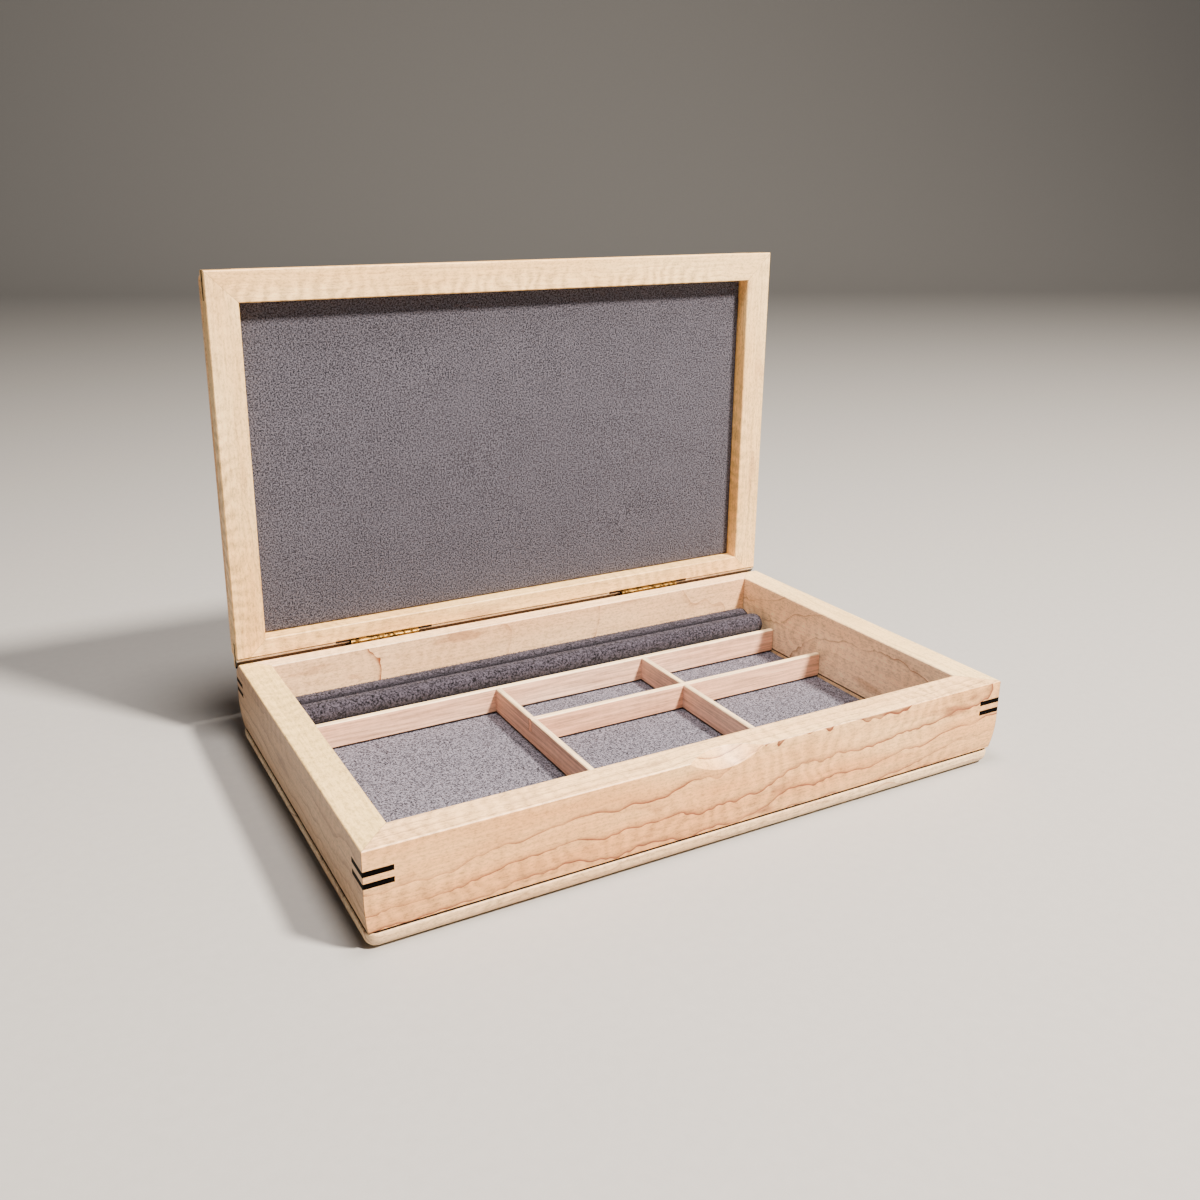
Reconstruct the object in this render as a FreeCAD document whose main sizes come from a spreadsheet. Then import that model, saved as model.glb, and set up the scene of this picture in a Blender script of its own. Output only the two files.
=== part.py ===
"""Hinged keepsake box in maple: mitred base and lid, splined corners, brass hinges, lined inside.

Frame: origin at the middle of the underside of the base, +X right, +Y back, +Z up, millimetres.
The box is drawn standing open. Lid pieces are drawn closed, then turned about the hinge pins.
"""
import FreeCAD, Part
import math
import os
import Sketcher

DOC = FreeCAD.newDocument("KeepsakeBox")
SHEET = DOC.addObject("Spreadsheet::Sheet", "Sizes")


class Size:
    """A length that knows its value and the spreadsheet formula that it comes from."""

    def __init__(self, value, text):
        self.value = value
        self.text = text

    def join(self, other, sign, value):
        return Size(value, f"({self.text} {sign} {formula(other)})")

    def __add__(self, other):
        return self.join(other, "+", self.value + number(other))

    def __sub__(self, other):
        return self.join(other, "-", self.value - number(other))

    def __mul__(self, other):
        return self.join(other, "*", self.value * number(other))

    def __truediv__(self, other):
        return self.join(other, "/", self.value / number(other))

    def __neg__(self):
        return self * -1

    def root(self):
        return Size(math.sqrt(self.value), f"sqrt({self.text})")

    def cosine(self):
        return Size(math.cos(math.radians(self.value)), f"cos({self.text} * 1 deg)")

    def sine(self):
        return Size(math.sin(math.radians(self.value)), f"sin({self.text} * 1 deg)")


def number(item):
    return item.value if isinstance(item, Size) else item


def formula(item):
    return item.text if isinstance(item, Size) else repr(item)


# Driving sizes in millimetres, and angles in degrees.
DRIVING = {
    "box_width": 340.0,
    "box_depth": 208.4,
    "base_height": 46.0,
    "rail_thickness": 16.0,
    "panel_thickness": 7.6,
    "reveal_gap": 0.8,
    "reveal_depth": 4.0,
    "panel_inset": 0.8,
    "panel_corner": 5.0,
    "panel_round": 5.2,
    "panel_lip": 1.0,
    "arris": 0.5,
    "foot_inset": 1.6,
    "base_curve_start": 21.0,
    "floor_height": 6.5,
    "cloth_thickness": 1.2,
    "board_thickness": 1.6,
    "lining_clearance": 0.3,
    "key_thickness": 2.5,
    "base_key_leg": 13.0,
    "lid_key_leg": 14.5,
    "upper_key_depth": 10.2,
    "lower_key_depth": 15.5,
    "lid_key_depth": 4.9,
    "lid_rail_height": 14.0,
    "lid_curve_start": 6.6,
    "lid_foot_inset": 1.3,
    "lid_recess": 8.0,
    "tongue_clearance": 0.2,
    "closing_gap": 0.4,
    "pin_setback": 5.0,
    "base_crease_land": 0.4,
    "lid_crease_lead": 1.5,
    "lid_bevel_drop": 5.0,
    "bevel_clearance": 0.65,
    "kerf_width": 0.5,
    "kerf_depth": 0.9,
    "hinge_spread": 175.0,
    "hinge_length": 40.0,
    "barrel_radius": 1.6,
    "pin_radius": 0.7,
    "pin_clearance": 0.05,
    "pin_grip": 0.01,
    "knuckle_gap": 0.12,
    "leaf_thickness": 1.0,
    "leaf_depth": 9.0,
    "base_leaf_angle": 45.0,
    "lid_leaf_angle": 20.0,
    "slot_length": 57.0,
    "slot_clearance": 0.05,
    "slot_end_room": 0.5,
    "barrel_relief": 0.3,
    "scoop_width": 41.0,
    "scoop_drop": 7.0,
    "scoop_run": 8.0,
    "divider_thickness": 3.2,
    "divider_height": 14.4,
    "divider_arris": 0.5,
    "divider_end_gap": 0.5,
    "lap_clearance": 0.05,
    "rest_gap": 0.3,
    "back_bay": 28.6,
    "front_bay": 100.6,
    "left_bay": 115.0,
    "middle_bay": 92.0,
    "roll_end_gap": 3.0,
    "roll_end_round": 5.0,
    "front_roll_top": 30.0,
    "back_roll_top": 28.8,
    "roll_side_gap": 0.4,
}
KNUCKLES = 8
MARGIN = 2.0  # how far a cutting outline reaches past what it cuts
TINY = 0.01  # a length or volume below this counts as nothing
ZERO = Size(0.0, "0")

for line, (alias, amount) in enumerate(DRIVING.items(), start=1):
    SHEET.set(f"A{line}", alias)
    SHEET.set(f"B{line}", str(amount))
    SHEET.setAlias(f"B{line}", alias)
DOC.recompute()


def size(alias):
    return Size(DRIVING[alias], f"Sizes.{alias}")


# Places worked out from the driving sizes.
HALF_WIDTH = size("box_width") / 2
HALF_DEPTH = size("box_depth") / 2
RAIL = size("rail_thickness")
BASE_RIM = size("base_height")
BASE_FOOT = size("panel_thickness") + size("reveal_gap")
LID_RIM = BASE_RIM + size("closing_gap")
LID_FOOT = LID_RIM + size("lid_rail_height")
LID_TOP = LID_FOOT + size("reveal_gap") + size("panel_thickness")
INNER_X = HALF_WIDTH - RAIL
INNER_Y = HALF_DEPTH - RAIL
PIN_Y = HALF_DEPTH - size("pin_setback")
PIN_Z = BASE_RIM + size("closing_gap") / 2
FLOOR = size("floor_height")

# The back edges are bevelled, so that the lid can stand open: its lowest edge clears the base's bevel.
LID_BEVEL_RUN = size("pin_setback") + size("lid_crease_lead")
LID_BEVEL_DROP = size("lid_bevel_drop")
HINGE_HOLLOW = size("barrel_radius") + size("barrel_relief")
BASE_BEVEL_RUN = size("pin_setback") + HINGE_HOLLOW + size("base_crease_land")
OPEN_EDGE_DROP = size("pin_setback") - size("closing_gap") / 2 + size("bevel_clearance")
OPEN_EDGE_RUN = BASE_BEVEL_RUN - size("pin_setback") - size("closing_gap") / 2 + LID_BEVEL_DROP
BASE_BEVEL_DROP = BASE_BEVEL_RUN * OPEN_EDGE_DROP / OPEN_EDGE_RUN
PARTS = []


# ---------------------------------------------------------------- drawing helpers

def start_body(label):
    body = DOC.addObject("PartDesign::Body", label)
    body.Label = label
    PARTS.append(body)
    return body


def origin_plane(body, role):
    return next(item for item in body.Origin.OriginFeatures if item.Role == role)


def new_sketch(body, name, role, offset=None):
    sketch = body.newObject("Sketcher::SketchObject", name)
    sketch.AttachmentSupport = [(origin_plane(body, role), "")]
    sketch.MapMode = "FlatFace"
    if offset is not None:
        sketch.setExpression("AttachmentOffset.Base.z", offset.text)
    return sketch


def hold(sketch, kind, where, amount):
    """One bound constraint: where is (geometry, point) or just (geometry,)."""
    place = (-1, 1) + where if kind.startswith("Distance") else where
    index = sketch.addConstraint(Sketcher.Constraint(kind, *place, number(amount)))
    sketch.setExpression(f"Constraints[{index}]", formula(amount))


def flat(point):
    return FreeCAD.Vector(number(point[0]), number(point[1]), 0)


def arc_through(start, end, radius):
    """The short arc from start to end whose centre lies to the left of the way from start to end."""
    chord = end - start
    left = FreeCAD.Vector(-chord.y, chord.x, 0).normalize()
    reach = math.sqrt(radius ** 2 - (chord.Length / 2) ** 2)
    centre = (start + end) / 2 + left * reach
    middle = centre - left * radius
    return Part.Arc(start, middle, end)


def add_outline(sketch, corners, arcs=None):
    """A closed outline. Every corner is held by two bound sizes; arcs gives side number: radius."""
    arcs = arcs or {}
    first = sketch.GeometryCount
    points = [flat(corner) for corner in corners]
    count = len(points)
    for side in range(count):
        start, end = points[side], points[(side + 1) % count]
        if side in arcs:
            sketch.addGeometry(arc_through(start, end, number(arcs[side])))
        else:
            sketch.addGeometry(Part.LineSegment(start, end))

    def end_at(side, corner):
        near = sketch.getPoint(first + side, 1).distanceToPoint(points[corner % count])
        far = sketch.getPoint(first + side, 2).distanceToPoint(points[corner % count])
        return (first + side, 1 if near < far else 2)

    for side in range(count):
        here, there = end_at(side, side + 1), end_at((side + 1) % count, side + 1)
        sketch.addConstraint(Sketcher.Constraint("Coincident", *here, *there))
    for side, (across, up) in enumerate(corners):
        hold(sketch, "DistanceX", end_at(side, side), across)
        hold(sketch, "DistanceY", end_at(side, side), up)
    for side, radius in arcs.items():
        hold(sketch, "Radius", (first + side,), radius)


def add_circle(sketch, centre, radius):
    index = sketch.addGeometry(Part.Circle(flat(centre), FreeCAD.Vector(0, 0, 1), number(radius)))
    hold(sketch, "DistanceX", (index, 3), centre[0])
    hold(sketch, "DistanceY", (index, 3), centre[1])
    hold(sketch, "Radius", (index,), radius)


def extrude(body, kind, sketch, length, symmetric=True):
    """A Pad or Pocket of the sketch, measured both ways from its plane or only forwards."""
    feature = body.newObject(f"PartDesign::{kind}", f"{sketch.Name}{kind}")
    feature.Profile = sketch
    feature.SideType = "Symmetric" if symmetric else "One side"
    feature.setExpression("Length", formula(length))
    DOC.recompute()
    return feature


def cut(body, sketch, length):
    """A symmetric Pocket that has to take something away."""
    before = body.Shape.Volume
    extrude(body, "Pocket", sketch, length)
    if body.Shape.Volume > before - TINY:
        raise RuntimeError(f"{sketch.Name} cuts nothing from {body.Label}")


def rectangle(low_across, high_across, low_up, high_up):
    return [(low_across, low_up), (high_across, low_up), (high_across, high_up), (low_across, high_up)]


def round_edges(body, name, radius, wanted):
    """Fillet the edges of the body's tip that pass the wanted test."""
    tip = body.Tip
    edges = [f"Edge{n}" for n, edge in enumerate(tip.Shape.Edges, start=1) if wanted(edge.BoundBox)]
    if not edges:
        raise RuntimeError(f"{name} finds no edges on {body.Label}")
    fillet = body.newObject("PartDesign::Fillet", name)
    fillet.Base = (tip, edges)
    fillet.setExpression("Radius", formula(radius))
    DOC.recompute()


def open_lid(body):
    """Turn a piece drawn on the closed lid a quarter turn back about the hinge pins."""
    body.Placement.Rotation = FreeCAD.Rotation(FreeCAD.Vector(1, 0, 0), -90)
    body.setExpression("Placement.Base.y", (PIN_Y - PIN_Z).text)
    body.setExpression("Placement.Base.z", (PIN_Z + PIN_Y).text)


def slab(label, half_x, half_y, bottom, thickness):
    """A flat board centred on the box."""
    body = start_body(label)
    sketch = new_sketch(body, f"{label}_outline", "XY_Plane", bottom)
    add_outline(sketch, rectangle(-half_x, half_x, -half_y, half_y))
    extrude(body, "Pad", sketch, thickness, symmetric=False)
    return body


# ---------------------------------------------------------------- mitred rails

def side_point(side, along, across):
    """Plan place of a point, from its place along a side and its distance out from the middle."""
    return {
        "front": (along, -across),
        "back": (along, across),
        "left": (-across, along),
        "right": (across, along),
    }[side]


def lies_across(side):
    return side in ("front", "back")


def rail(label, side, rim, foot, up, curve_start, inset, key_leg, key_depths):
    """One mitred rail: rim arrises, an outer face that curves in to its foot, and key slots.

    up is 1 where the rim is the top of the rail (base) and -1 where it is the bottom (lid).
    """
    body = start_body(label)
    out = HALF_DEPTH if lies_across(side) else HALF_WIDTH
    half_length = HALF_WIDTH if lies_across(side) else HALF_DEPTH
    facing = -1 if side in ("front", "left") else 1
    arris = size("arris")
    bend = rim - curve_start * up
    rise = (bend - foot) * up
    radius = (rise * rise + inset * inset) / (inset * 2)

    section = new_sketch(body, f"{label}_section", "YZ_Plane" if lies_across(side) else "XZ_Plane")
    corners = [
        ((out - RAIL) * facing, foot),
        ((out - RAIL) * facing, rim - arris * up),
        ((out - RAIL + arris) * facing, rim),
        ((out - arris) * facing, rim),
        (out * facing, rim - arris * up),
        (out * facing, bend),
        ((out - inset) * facing, foot),
    ]
    if facing * up < 0:
        add_outline(section, corners, {5: radius})
    else:
        corners.reverse()
        add_outline(section, corners, {0: radius})
    extrude(body, "Pad", section, half_length * 2)

    mitres = new_sketch(body, f"{label}_mitres", "XY_Plane", (rim + foot) / 2)
    for end in (-1, 1):
        add_outline(mitres, [
            side_point(side, (half_length + MARGIN) * end, out + MARGIN),
            side_point(side, (half_length - RAIL - MARGIN) * end, out - RAIL - MARGIN),
            side_point(side, (half_length + MARGIN) * end, out - RAIL - MARGIN),
        ])
    cut(body, mitres, (rim - foot) * up + 2 * MARGIN)

    for level, depth in enumerate(key_depths, start=1):
        slots = new_sketch(body, f"{label}_key_slots_{level}", "XY_Plane", rim - depth * up)
        for end in (-1, 1):
            add_outline(slots, [
                side_point(side, (half_length + MARGIN) * end, out + MARGIN),
                side_point(side, (half_length - key_leg - MARGIN) * end, out + MARGIN),
                side_point(side, (half_length + MARGIN) * end, out - key_leg - MARGIN),
            ])
        cut(body, slots, size("key_thickness"))
    return body


def back_bevel(body, rim, up, run, drop):
    """Bevel the back edge of the rim, so that the open lid clears the base."""
    slope = drop / run
    sketch = new_sketch(body, f"{body.Label}_bevel", "YZ_Plane")
    add_outline(sketch, [
        (HALF_DEPTH - run - MARGIN, rim + slope * MARGIN * up),
        (HALF_DEPTH + MARGIN, rim - (drop + slope * MARGIN) * up),
        (HALF_DEPTH + MARGIN, rim + slope * MARGIN * up),
    ])
    cut(body, sketch, (HALF_WIDTH + MARGIN) * 2)


def crease_kerf(body):
    """The thin saw line along the crease where the lid's rim meets its bevel."""
    crease = HALF_DEPTH - LID_BEVEL_RUN
    sketch = new_sketch(body, f"{body.Label}_kerf", "YZ_Plane")
    outline = rectangle(crease - size("kerf_width"), crease, LID_RIM - MARGIN, LID_RIM + size("kerf_depth"))
    add_outline(sketch, outline)
    cut(body, sketch, (HALF_WIDTH + MARGIN) * 2)


def leaf_outline(angle, up, near, far, thickness):
    """A straight strip seen from the side, that leaves the pin forwards at an angle to the rim."""
    cosine, sine = angle.cosine(), angle.sine() * up
    half = thickness / 2

    def corner(reach, lift):
        return (PIN_Y - cosine * reach - sine * lift, PIN_Z + sine * reach - cosine * lift)

    return [corner(near, half), corner(far, half), corner(far, -half), corner(near, -half)]


def hinge_seats(body, angle, up):
    """Slots for the hinge leaves, and hollows that clear the barrels."""
    slot_thickness = size("leaf_thickness") + size("slot_clearance") * 2
    far = size("leaf_depth") + size("slot_end_room")
    for name, end in (("left", -1), ("right", 1)):
        middle = size("hinge_spread") / 2 * end
        slot = new_sketch(body, f"{body.Label}_slot_{name}", "YZ_Plane", middle)
        add_outline(slot, leaf_outline(angle, up, ZERO, far, slot_thickness))
        cut(body, slot, size("slot_length"))
        hollow = new_sketch(body, f"{body.Label}_hollow_{name}", "YZ_Plane", middle)
        add_circle(hollow, (PIN_Y, PIN_Z), HINGE_HOLLOW)
        cut(body, hollow, size("hinge_length") + size("slot_end_room") * 2)


def finger_scoop(body):
    """A round hollow across the top front edge, to get a finger under the lid."""
    run, drop = size("scoop_run"), size("scoop_drop")
    slant = (run * run + drop * drop).root()
    depth = run * drop / slant
    half_width = size("scoop_width") / 2
    radius = (half_width * half_width + depth * depth) / (depth * 2)
    length = size("scoop_width") * 2
    cutter = body.newObject("PartDesign::SubtractiveCylinder", "finger_scoop_cutter")
    turn = math.degrees(math.atan2(run.value, drop.value))
    cutter.Placement.Rotation = FreeCAD.Rotation(FreeCAD.Vector(-1, 0, 0), turn)
    cutter.setExpression("Radius", radius.text)
    cutter.setExpression("Height", length.text)
    cutter.setExpression("Placement.Rotation.Angle", f"atan({(run / drop).text})")
    lift = (radius - depth) / slant
    back = length / 2 / slant
    cutter.setExpression("Placement.Base.y", (-HALF_DEPTH - drop * lift - run * back).text)
    cutter.setExpression("Placement.Base.z", (BASE_RIM + run * lift - drop * back).text)
    DOC.recompute()


def base_frame():
    for side in ("front", "back", "left", "right"):
        depths = [size("upper_key_depth"), size("lower_key_depth")]
        body = rail(f"base_{side}_rail", side, BASE_RIM, BASE_FOOT, 1, size("base_curve_start"),
                    size("foot_inset"), size("base_key_leg"), depths)
        if side != "front":
            back_bevel(body, BASE_RIM, 1, BASE_BEVEL_RUN, BASE_BEVEL_DROP)
        if side == "back":
            hinge_seats(body, size("base_leaf_angle"), -1)
        if side == "front":
            finger_scoop(body)


def lid_frame():
    for side in ("front", "back", "left", "right"):
        body = rail(f"lid_{side}_rail", side, LID_RIM, LID_FOOT, -1, size("lid_curve_start"),
                    size("lid_foot_inset"), size("lid_key_leg"), [size("lid_key_depth")])
        if side != "front":
            back_bevel(body, LID_RIM, -1, LID_BEVEL_RUN, LID_BEVEL_DROP)
            crease_kerf(body)
        if side == "back":
            hinge_seats(body, size("lid_leaf_angle"), 1)
        open_lid(body)


def corner_key(label, side_x, side_y, height, leg):
    """One flat triangular key, let into a slot across a mitre."""
    body = start_body(label)
    sketch = new_sketch(body, f"{label}_outline", "XY_Plane", height)
    add_outline(sketch, [
        (HALF_WIDTH * side_x, HALF_DEPTH * side_y),
        ((HALF_WIDTH - leg) * side_x, HALF_DEPTH * side_y),
        (HALF_WIDTH * side_x, (HALF_DEPTH - leg) * side_y),
    ])
    extrude(body, "Pad", sketch, size("key_thickness"))
    return body


def corner_keys():
    for row, side_y in (("front", -1), ("back", 1)):
        for column, side_x in (("left", -1), ("right", 1)):
            corner = f"{row}_{column}"
            for level in ("upper", "lower"):
                height = BASE_RIM - size(f"{level}_key_depth")
                corner_key(f"base_key_{corner}_{level}", side_x, side_y, height, size("base_key_leg"))
            height = LID_RIM + size("lid_key_depth")
            key = corner_key(f"lid_key_{corner}", side_x, side_y, height, size("lid_key_leg"))
            if row == "back":
                back_bevel(key, LID_RIM, -1, LID_BEVEL_RUN, LID_BEVEL_DROP)
            open_lid(key)


# ---------------------------------------------------------------- panels and linings

def rounded_panel(label, outer_face, up):
    """A panel with soft corners and a rounded outer edge, and a raised field that meets the rails.

    outer_face is the height of its show face; up is 1 where the rails stand above it.
    """
    half_x = HALF_WIDTH - size("panel_inset")
    half_y = HALF_DEPTH - size("panel_inset")
    thickness = size("panel_thickness")
    inner_face = outer_face + thickness * up
    body = start_body(label)
    plan = new_sketch(body, f"{label}_plan", "XY_Plane", (outer_face + inner_face) / 2)
    add_outline(plan, rectangle(-half_x, half_x, -half_y, half_y))
    extrude(body, "Pad", plan, thickness)
    round_edges(body, f"{label}_corners", size("panel_corner"), lambda box: box.ZLength > TINY)
    round_edges(body, f"{label}_edge", size("panel_round"),
                lambda box: box.ZLength < TINY and abs(box.ZMin - outer_face.value) < TINY)
    round_edges(body, f"{label}_lip", size("panel_lip"),
                lambda box: box.ZLength < TINY and abs(box.ZMin - inner_face.value) < TINY)
    field_x = half_x - size("reveal_depth")
    field_y = half_y - size("reveal_depth")
    field = new_sketch(body, f"{label}_field", "XY_Plane", inner_face)
    add_outline(field, rectangle(-field_x, field_x, -field_y, field_y))
    extrude(body, "Pad", field, size("reveal_gap") * 2)
    return body


def linings():
    bottom = rounded_panel("bottom_panel", ZERO, 1)
    tray_floor = FLOOR - size("cloth_thickness") - size("board_thickness")
    tray = new_sketch(bottom, "bottom_panel_tray", "XY_Plane", (tray_floor + BASE_FOOT + MARGIN) / 2)
    add_outline(tray, rectangle(-INNER_X, INNER_X, -INNER_Y, INNER_Y))
    cut(bottom, tray, BASE_FOOT + MARGIN - tray_floor)

    gap = size("lining_clearance")
    cloth_bottom = FLOOR - size("cloth_thickness")
    slab("floor_board", INNER_X - gap, INNER_Y - gap, tray_floor, size("board_thickness"))
    slab("floor_cloth", INNER_X - gap, INNER_Y - gap, cloth_bottom, size("cloth_thickness"))

    top = rounded_panel("lid_top_panel", LID_TOP, -1)
    lining_face = LID_RIM + size("lid_recess")
    tongue_face = lining_face + size("cloth_thickness") + size("board_thickness")
    tongue_x = INNER_X - size("tongue_clearance")
    tongue_y = INNER_Y - size("tongue_clearance")
    tongue = new_sketch(top, "lid_top_panel_tongue", "XY_Plane", tongue_face)
    add_outline(tongue, rectangle(-tongue_x, tongue_x, -tongue_y, tongue_y))
    extrude(top, "Pad", tongue, LID_FOOT + size("reveal_gap") - tongue_face, symmetric=False)
    open_lid(top)
    cloth = slab("lid_lining_cloth", INNER_X - gap, INNER_Y - gap, lining_face, size("cloth_thickness"))
    open_lid(cloth)
    board_face = lining_face + size("cloth_thickness")
    board = slab("lid_lining_board", INNER_X - gap, INNER_Y - gap, board_face, size("board_thickness"))
    open_lid(board)


# ---------------------------------------------------------------- hinges

def hinge_leaf(label, end, angle, up, first_knuckle, bore):
    """A leaf with every second knuckle of the barrel."""
    body = start_body(label)
    middle = size("hinge_spread") / 2 * end
    plate = new_sketch(body, f"{label}_plate", "YZ_Plane", middle)
    near = size("barrel_radius") - size("leaf_thickness") / 2
    add_outline(plate, leaf_outline(angle, up, near, size("leaf_depth"), size("leaf_thickness")))
    extrude(body, "Pad", plate, size("hinge_length"))
    barrel = new_sketch(body, f"{label}_barrel", "YZ_Plane", middle)
    add_circle(barrel, (PIN_Y, PIN_Z), size("barrel_radius"))
    extrude(body, "Pad", barrel, size("hinge_length"))

    pitch = size("hinge_length") / KNUCKLES
    start = middle - size("hinge_length") / 2
    half_gap = size("knuckle_gap") / 2
    notches = new_sketch(body, f"{label}_notches", "XY_Plane", PIN_Z)
    for knuckle in range(1 - first_knuckle, KNUCKLES, 2):
        low = start + pitch * knuckle - half_gap
        high = start + pitch * (knuckle + 1) + half_gap
        add_outline(notches, rectangle(low, high, PIN_Y - HINGE_HOLLOW, PIN_Y + HINGE_HOLLOW))
    cut(body, notches, HINGE_HOLLOW * 2)
    hole = new_sketch(body, f"{label}_bore", "YZ_Plane", middle)
    add_circle(hole, (PIN_Y, PIN_Z), bore)
    cut(body, hole, size("hinge_length") + MARGIN)
    return body


def hinges():
    for name, end in (("left", -1), ("right", 1)):
        tight = size("pin_radius") + size("pin_grip")
        free = size("pin_radius") + size("pin_clearance")
        hinge_leaf(f"hinge_base_leaf_{name}", end, size("base_leaf_angle"), -1, 0, tight)
        open_lid(hinge_leaf(f"hinge_lid_leaf_{name}", end, size("lid_leaf_angle"), 1, 1, free))
        pin = start_body(f"hinge_pin_{name}")
        middle = size("hinge_spread") / 2 * end
        sketch = new_sketch(pin, f"hinge_pin_{name}_section", "YZ_Plane", middle)
        add_circle(sketch, (PIN_Y, PIN_Z), size("pin_radius"))
        extrude(pin, "Pad", sketch, size("hinge_length"))


# ---------------------------------------------------------------- dividers and ring roll

DIVIDER = size("divider_thickness")
DIVIDER_FOOT = FLOOR + size("rest_gap")
DIVIDER_TOP = DIVIDER_FOOT + size("divider_height")
DIVIDER_MIDDLE = (DIVIDER_FOOT + DIVIDER_TOP) / 2
LONG_BACK_Y = INNER_Y - size("back_bay") - DIVIDER / 2
LONG_FRONT_Y = -INNER_Y + size("front_bay") + DIVIDER / 2
CROSS_LEFT_X = -INNER_X + size("left_bay") + DIVIDER / 2
CROSS_RIGHT_X = CROSS_LEFT_X + size("middle_bay") + DIVIDER


def divider(label, side, place, low, high):
    """A thin strip on edge with soft top edges; place is where it stands, low to high is its run."""
    body = start_body(label)
    middle = (low + high) / 2
    if not lies_across(side):
        middle = -middle
    plane = "YZ_Plane" if lies_across(side) else "XZ_Plane"
    section = new_sketch(body, f"{label}_section", plane, middle)
    half, arris = DIVIDER / 2, size("divider_arris")
    add_outline(section, [
        (place - half, DIVIDER_FOOT),
        (place + half, DIVIDER_FOOT),
        (place + half, DIVIDER_TOP - arris),
        (place + half - arris, DIVIDER_TOP),
        (place - half + arris, DIVIDER_TOP),
        (place - half, DIVIDER_TOP - arris),
    ])
    extrude(body, "Pad", section, high - low)
    return body


def lap_notch(body, name, x, y, half_x, half_y, from_top):
    """Half of a cross lap, cut from the top or from the bottom of a strip."""
    edge = DIVIDER_TOP + MARGIN if from_top else DIVIDER_FOOT - MARGIN
    height = (edge - DIVIDER_MIDDLE) * (1 if from_top else -1)
    sketch = new_sketch(body, name, "XY_Plane", (edge + DIVIDER_MIDDLE) / 2)
    add_outline(sketch, rectangle(x - half_x, x + half_x, y - half_y, y + half_y))
    cut(body, sketch, height)


def divider_grid():
    gap = size("divider_end_gap")
    half = DIVIDER / 2
    notch = half + size("lap_clearance")
    wide = half + MARGIN
    divider("divider_long_back", "front", LONG_BACK_Y, -INNER_X + gap, INNER_X - gap)
    long_front = divider("divider_long_front", "front", LONG_FRONT_Y, CROSS_LEFT_X - half, INNER_X - gap)
    for name, x in (("left", CROSS_LEFT_X), ("right", CROSS_RIGHT_X)):
        cross = divider(f"divider_cross_{name}", "left", x, -INNER_Y + gap, LONG_BACK_Y - half)
        lap_notch(cross, f"cross_{name}_lap", x, LONG_FRONT_Y, wide, notch, True)
        lap_notch(long_front, f"long_front_lap_{name}", x, LONG_FRONT_Y, notch, wide, False)


def ring_roll():
    """Two padded rolls side by side on a core, so that rings stand in the crease between them."""
    side_gap = size("roll_side_gap")
    bay_front = LONG_BACK_Y + DIVIDER / 2 + side_gap
    bay_back = INNER_Y - side_gap
    radius = (bay_back - bay_front) / 4 - size("lap_clearance")
    middle = (bay_front + bay_back) / 2
    half_length = INNER_X - size("roll_end_gap")
    core_foot = FLOOR + size("rest_gap")
    core_top = size("back_roll_top") - radius * 2 - size("lap_clearance")

    core = start_body("ring_roll_core")
    sketch = new_sketch(core, "ring_roll_core_plan", "XY_Plane", core_foot)
    inset = size("roll_end_round")
    add_outline(sketch, rectangle(-half_length + inset, half_length - inset, bay_front, bay_back))
    extrude(core, "Pad", sketch, core_top - core_foot, symmetric=False)

    for name, facing in (("front", -1), ("back", 1)):
        roll = start_body(f"ring_roll_{name}")
        circle = new_sketch(roll, f"ring_roll_{name}_section", "YZ_Plane")
        centre = (middle + (radius + size("lap_clearance")) * facing, size(f"{name}_roll_top") - radius)
        add_circle(circle, centre, radius)
        extrude(roll, "Pad", circle, half_length * 2)
        round_edges(roll, f"ring_roll_{name}_ends", size("roll_end_round"),
                    lambda box: box.XLength < TINY)


# ---------------------------------------------------------------- build and write

def check_everything():
    for item in DOC.Objects:
        if "Invalid" in item.State or "Error" in item.State:
            raise RuntimeError(f"{item.Name} did not build: {item.State}")
    for body in PARTS:
        if body.Shape.isNull() or not body.Shape.isValid() or len(body.Shape.Solids) != 1:
            raise RuntimeError(f"{body.Label} has no single sound solid")


def main():
    base_frame()
    linings()
    lid_frame()
    corner_keys()
    hinges()
    divider_grid()
    ring_roll()
    DOC.recompute()
    check_everything()
    os.makedirs("parts", exist_ok=True)
    for body in PARTS:
        body.Shape.exportStep(f"parts/{body.Label}.step")
        print(f"{body.Label}: {body.Shape.Volume / 1000:.2f} cm3")


main()
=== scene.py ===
# %% [markdown]
# # A lined keepsake box in curly maple
# The box stands open at rest. Its wood, keys and brass come from the design file and keep their
# shapes here; this script gives them their surfaces. The cloth and the velvet are made here,
# because drawn solids are too stiff and too flat to pass for cloth.

import math

import bmesh
import bpy
from mathutils import Matrix, Vector, noise


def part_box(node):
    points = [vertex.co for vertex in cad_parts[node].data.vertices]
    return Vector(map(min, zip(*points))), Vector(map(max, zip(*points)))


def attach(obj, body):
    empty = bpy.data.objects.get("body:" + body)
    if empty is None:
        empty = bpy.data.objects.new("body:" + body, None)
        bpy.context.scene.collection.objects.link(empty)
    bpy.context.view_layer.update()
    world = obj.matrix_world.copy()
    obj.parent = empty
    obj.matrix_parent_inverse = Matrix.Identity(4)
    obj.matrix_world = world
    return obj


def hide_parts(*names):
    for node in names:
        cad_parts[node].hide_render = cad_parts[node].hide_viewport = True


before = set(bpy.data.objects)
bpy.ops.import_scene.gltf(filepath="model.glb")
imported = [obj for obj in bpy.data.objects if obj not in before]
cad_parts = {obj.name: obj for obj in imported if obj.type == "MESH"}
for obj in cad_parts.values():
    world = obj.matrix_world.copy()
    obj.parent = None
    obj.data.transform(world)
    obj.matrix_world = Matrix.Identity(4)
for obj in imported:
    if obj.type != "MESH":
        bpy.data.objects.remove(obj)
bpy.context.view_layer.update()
MM = 0.001
print("nodes loaded:", len(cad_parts))

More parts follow.
